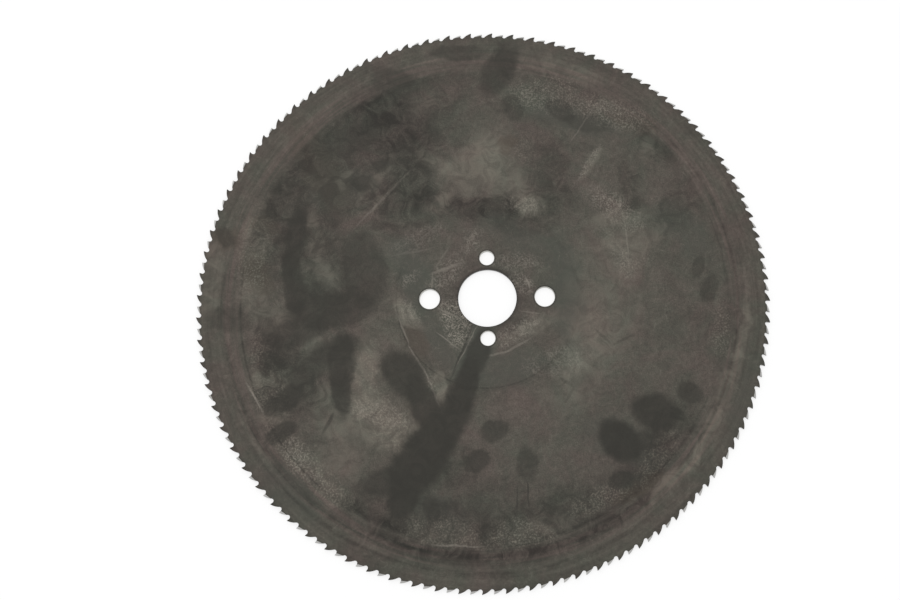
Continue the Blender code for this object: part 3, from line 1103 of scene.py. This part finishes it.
def side_material(finish, sizes):
    """Dark oxidised steel with grinding rings, a flange print, handling marks and rubbed places."""
    material, bench = new_material("Oxidised Side")
    side = BladeSide(bench, sizes)
    marks = lay_all_marks(bench, side.handled)
    streak = grinding_streaks(bench, side)
    level = clean_level(bench, side, streak)
    warmth = steel_warmth(bench, side, streak)

    steel = bench.scaled(bench.blend(warmth, finish.cool_side, finish.warm_side), level)
    steel = bench.blend(bench.product(marks["green"], side.worn), steel, finish.green_film)
    steel = bench.blend(bench.product(marks["brown"], side.worn), steel, finish.brown_stain)
    wiped = bench.blend(warmth, finish.pale, finish.rubbed)
    steel = bench.blend(wiped_places(bench, side, marks), steel, wiped)
    steel = bench.blend(fresh_scratches(bench, side, marks), steel, finish.scratched)
    steel = bench.scaled(steel, shaded_level(bench, side, marks, sizes))
    dark = bench.product(
        bench.largest(marks["dark"], marks["dark cuts"]),
        bench.spread(side.upper, UNDERSIDE_SMUDGES, 1.0), side.patchy(1.0, 0.92),
    )
    oily = bench.scaled(finish.smudge, bench.spread(level, 0.75, 1.25))
    steel = bench.blend(dark, steel, oily)
    round_axis = bench.add("Tangent", {}, direction_type="RADIAL", axis="Z").outputs[0]
    surface(bench, {
        "Base Color": steel, "Metallic": 0.6, "Specular IOR Level": 0.3,
        "Roughness": bench.math("MULTIPLY_ADD", dark, -0.06, bench.spread(level, 0.36, 0.46)),
        "Anisotropic": 0.3, "Tangent": round_axis,
        "Normal": bench.relief(level, strength=0.25, depth=0.00002),
    })
    return material


def tooled_steel(name, stretch, line_size, line_levels, stain_size, stain_levels, detail=4.0):
    """Starts the material of a cut face, with the lines of its tool and its brightness."""
    material, bench = new_material(name)
    place = bench.place()
    stretched = bench.vector("MULTIPLY", place, stretch)
    lines = bench.noise(stretched, line_size, detail=3.0, roughness=0.6, kind="3D")
    stain = bench.noise(place, stain_size, detail=detail, roughness=0.6, kind="3D")
    level = bench.product(bench.spread(lines, *line_levels), bench.spread(stain, *stain_levels))
    return material, bench, lines, level


def bevel_material(finish):
    """Freshly ground corners, bright, with fine lines along the grinding."""
    material, bench, lines, level = tooled_steel(
        "Ground Corner", (1.0, 1.0, 6.0), 0.5, (0.82, 1.12), 14.0, (0.75, 1.2), detail=3.0
    )
    surface(bench, {
        "Base Color": bench.scaled(finish.bevel, level), "Metallic": 0.9,
        "Roughness": bench.spread(lines, 0.22, 0.4),
    })
    return material


def gullet_material(finish):
    """Ground faces, backs and gullets, with lines across the thickness."""
    material, bench, lines, level = tooled_steel(
        "Ground Gullet", (1.0, 1.0, 0.12), 0.22, (0.7, 1.25), 6.0, (0.6, 1.3)
    )
    surface(bench, {
        "Base Color": bench.scaled(finish.gullet, level), "Metallic": 0.85,
        "Roughness": bench.spread(lines, 0.28, 0.5),
        "Normal": bench.relief(lines, strength=0.3, depth=0.00001),
    })
    return material


def bore_material(finish, sizes):
    """Turned walls with lines round them, dark in the bore and bright in the pin holes."""
    material, bench, lines, level = tooled_steel(
        "Turned Bore", (0.15, 0.15, 3.0), 0.4, (0.75, 1.2), 5.0, (0.65, 1.3)
    )
    radius = bench.vector("LENGTH", bench.vector("MULTIPLY", bench.place(), FLATTEN))
    bore = sizes.bore / 2 / MILLIMETRE
    in_pin_hole = bench.fade(radius, bore + 1.0, bore + 2.0)
    wall = bench.blend(in_pin_hole, finish.bore, finish.pin_wall)
    surface(bench, {
        "Base Color": bench.scaled(wall, level), "Metallic": 0.85,
        "Roughness": bench.spread(lines, 0.3, 0.45),
        "Normal": bench.relief(lines, strength=0.25, depth=0.00001),
    })
    return material


# Operators


class BLADE_OT_finished_blade(bpy.types.Operator):
    """Model the blade, bore it, grind its teeth and give it its finish"""

    bl_idname = "blade.finished_blade"
    bl_label = "Saw Blade"
    bl_options = {"REGISTER", "UNDO"}

    def execute(self, context):
        sizes, finish = context.scene.blade_sizes, context.scene.steel_finish
        piece = start_piece(PIECE_NAME)
        model_disc(piece, sizes, ToothForm(sizes))
        bore_pin_holes(piece, sizes)
        select_piece(piece)
        finish_edges(piece, sizes)
        give_materials(piece, sizes, {
            "side": side_material(finish, sizes),
            "bevel": bevel_material(finish),
            "gullet": gullet_material(finish),
            "bore": bore_material(finish, sizes),
        })
        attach(piece, BODY)
        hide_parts(CAD_NODE)
        return {"FINISHED"}


class BLADE_OT_stage(bpy.types.Operator):
    """Lay out the floor, the soft light and the camera"""

    bl_idname = "blade.stage"
    bl_label = "Stage"
    bl_options = {"REGISTER", "UNDO"}

    def execute(self, context):
        settings = context.scene.stage_settings
        lay_floor(settings)
        light_sky(context.scene, settings)
        hang_lamp(settings)
        place_camera(context.scene, settings)
        context.scene.view_settings.view_transform = "Standard"
        return {"FINISHED"}


# Stage


def seen_directly(bench):
    """1 for what the camera sees straight or in a reflection, 0 for light on the object."""
    path = bench.add("LightPath", {}).outputs
    return bench.largest(*(path[f"Is {ray} Ray"] for ray in ("Camera", "Glossy", "Transmission")))


def lay_floor(settings):
    """A plain pale floor under the blade, which shows white and keeps the blade's shadow."""
    bpy.ops.object.select_all(action="DESELECT")
    bpy.ops.mesh.primitive_plane_add(size=settings.floor_size, location=(0.0, 0.0, -FLOOR_GAP))
    floor = bpy.context.active_object
    floor.name = "floor"
    material, bench = new_material("Pale Floor")
    glow = bench.math("MULTIPLY", seen_directly(bench), settings.floor_glow)
    surface(bench, {
        "Base Color": settings.floor_colour, "Roughness": 0.9, "Specular IOR Level": 0.0,
        "Emission Color": (1.0, 1.0, 1.0), "Emission Strength": glow,
    })
    floor.data.materials.append(material)


def light_sky(scene, settings):
    """Even light from all sides, which the camera and the steel see as white."""
    world = bpy.data.worlds.new("Soft Sky")
    world.use_nodes = True
    scene.world = world
    bench = Bench(world.node_tree)
    strength = bench.spread(seen_directly(bench), settings.sky_strength, 1.0)
    sky = bench.add("Background", {"Color": (1.0, 1.0, 1.0), "Strength": strength})
    bench.add("OutputWorld", {"Surface": sky.outputs[0]})


def hang_lamp(settings):
    """One wide soft lamp, high above the blade."""
    lamp = bpy.data.lights.new("soft lamp", "AREA")
    lamp.energy = settings.lamp_power
    lamp.size = settings.lamp_size
    lamp_object = bpy.data.objects.new("soft lamp", lamp)
    bpy.context.scene.collection.objects.link(lamp_object)
    lamp_object.location = LAMP_PLACE
    lamp_object.rotation_euler = (-LAMP_PLACE).to_track_quat("-Z", "Y").to_euler()


def place_camera(scene, settings):
    """The photograph's view, nearly straight down."""
    camera = bpy.data.cameras.new("camera")
    camera.sensor_width = SENSOR_WIDTH
    camera.lens = settings.lens
    camera.shift_x = CAMERA_SHIFT
    camera.clip_start = NEAREST_SEEN
    camera_object = bpy.data.objects.new("camera", camera)
    scene.collection.objects.link(camera_object)
    camera_object.location = CAMERA_PLACE
    camera_object.rotation_euler = Euler([math.radians(turn) for turn in CAMERA_TURN])
    scene.camera = camera_object


class BLADE_PT_sidebar(bpy.types.Panel):
    """The blade's tools, sizes and colours"""

    bl_idname = "BLADE_PT_sidebar"
    bl_label = "Saw Blade"
    bl_space_type = "VIEW_3D"
    bl_region_type = "UI"
    bl_category = "Saw Blade"

    def draw(self, context):
        layout = self.layout
        for operator in OPERATORS:
            layout.operator(operator.bl_idname)
        for settings in (
            context.scene.blade_sizes, context.scene.steel_finish, context.scene.stage_settings
        ):
            column = layout.column()
            for name in settings.bl_rna.properties.keys():
                if name not in ("rna_type", "name"):
                    column.prop(settings, name)


OPERATORS = (BLADE_OT_finished_blade, BLADE_OT_stage)
CLASSES = (BladeSizes, SteelFinish, StageSettings, *OPERATORS, BLADE_PT_sidebar)


def register():
    for item in CLASSES:
        bpy.utils.register_class(item)
    bpy.types.Scene.blade_sizes = PointerProperty(type=BladeSizes)
    bpy.types.Scene.steel_finish = PointerProperty(type=SteelFinish)
    bpy.types.Scene.stage_settings = PointerProperty(type=StageSettings)


def unregister():
    del bpy.types.Scene.stage_settings
    del bpy.types.Scene.steel_finish
    del bpy.types.Scene.blade_sizes
    for item in reversed(CLASSES):
        bpy.utils.unregister_class(item)


def main():
    """Builds the scene."""
    register()
    bpy.ops.blade.finished_blade()
    bpy.ops.blade.stage()


if __name__ == "__main__":
    main()
